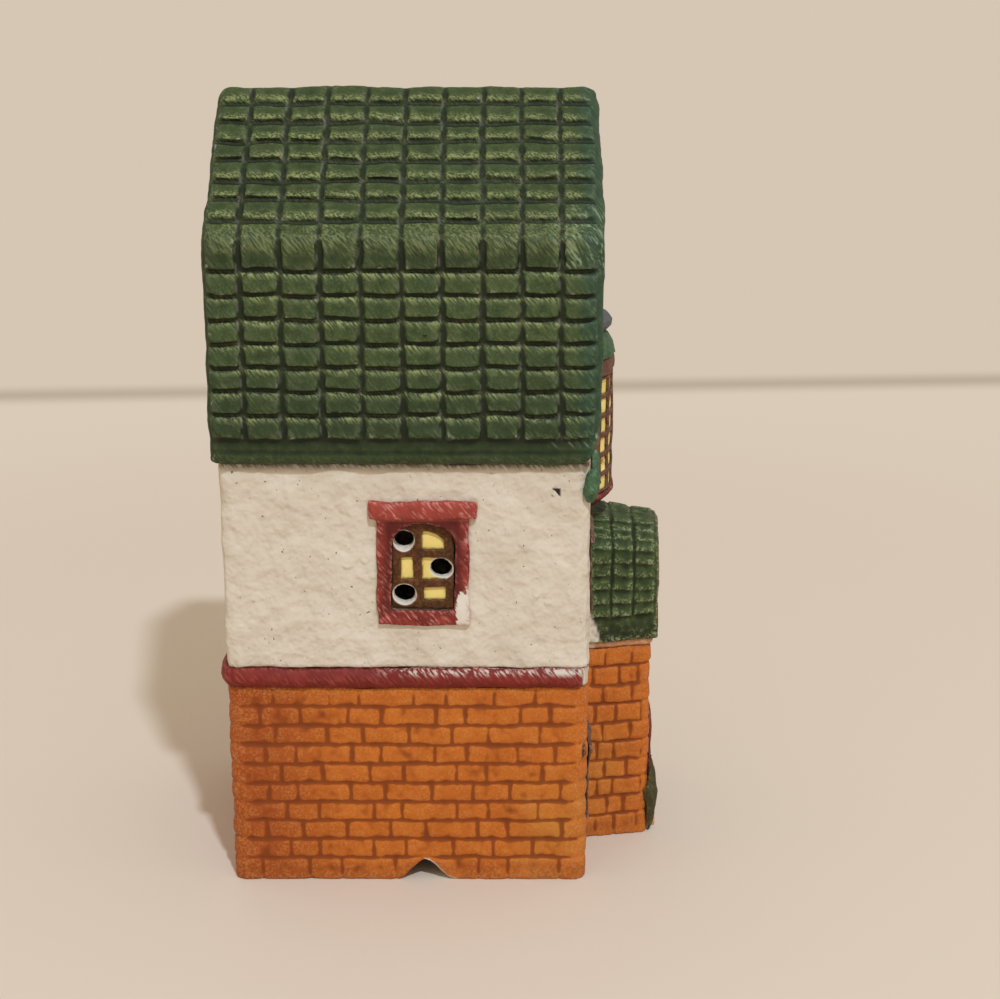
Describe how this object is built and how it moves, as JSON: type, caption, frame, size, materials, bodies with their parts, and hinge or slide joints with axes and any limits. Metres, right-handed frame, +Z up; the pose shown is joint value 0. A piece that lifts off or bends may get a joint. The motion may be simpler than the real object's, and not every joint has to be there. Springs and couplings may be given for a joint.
{
  "type": "christmas village hotel",
  "caption": "Hand-painted porcelain village hotel with a tiled gambrel roof, brick ground floor and bow window, hollow and open below to stand over a small lamp.",
  "frame": {"origin": "on the surface the house stands on, under the middle of its outline", "axes": "+Z up, the street front with the porch faces -Y, and the wall with the lead's notch faces -X"},
  "size_m": [0.0556, 0.0738, 0.1292],
  "materials": {
    "brick_paint": "matte painted bisque",
    "stucco_paint": "matte painted bisque",
    "red_paint": "matte painted bisque",
    "roof_paint": "matte painted bisque",
    "sash_paint": "matte painted bisque",
    "pane_paint": "matte painted bisque",
    "peach_paint": "matte painted bisque",
    "door_paint": "matte painted bisque",
    "leaf_paint": "matte painted bisque",
    "bush_paint": "matte painted bisque",
    "cap_paint": "matte painted bisque",
    "knob_paint": "satin painted bisque"
  },
  "bodies": {
    "root": {"ground_storey": "brick_paint", "string_course": "red_paint", "upper_storey": "stucco_paint", "main_roof": "roof_paint", "left_window_surround": "red_paint", "left_window_sash": "sash_paint", "left_window_panes": "pane_paint", "right_window_surround": "red_paint", "right_window_sash": "sash_paint", "right_window_panes": "pane_paint", "back_window_surround": "red_paint", "back_window_sash": "sash_paint", "back_window_panes": "pane_paint", "front_upper_left_window_surround": "red_paint", "front_upper_left_window_sash": "sash_paint", "front_upper_left_window_panes": "pane_paint", "front_lower_left_window_surround": "red_paint", "front_lower_left_window_sash": "sash_paint", "front_lower_left_window_panes": "pane_paint", "front_upper_right_window_surround": "red_paint", "front_upper_right_window_sash": "sash_paint", "front_upper_right_window_panes": "pane_paint", "front_lower_right_window_surround": "red_paint", "front_lower_right_window_sash": "sash_paint", "front_lower_right_window_panes": "pane_paint", "bay_corbel": "red_paint", "bay_panes": "pane_paint", "bay_sash": "sash_paint", "bay_frame": "red_paint", "bay_hood": "leaf_paint", "bay_cap": "cap_paint", "porch_walls": "brick_paint", "porch_band": "peach_paint", "porch_roof": "roof_paint", "porch_gable": "stucco_paint", "door_surround": "red_paint", "door_leaf": "door_paint", "door_knob": "knob_paint", "door_wreath": "leaf_paint", "door_step": "peach_paint", "left_bush": "bush_paint", "right_bush": "bush_paint", "left_garland": "leaf_paint", "right_garland": "leaf_paint"}
  },
  "joints": []
}
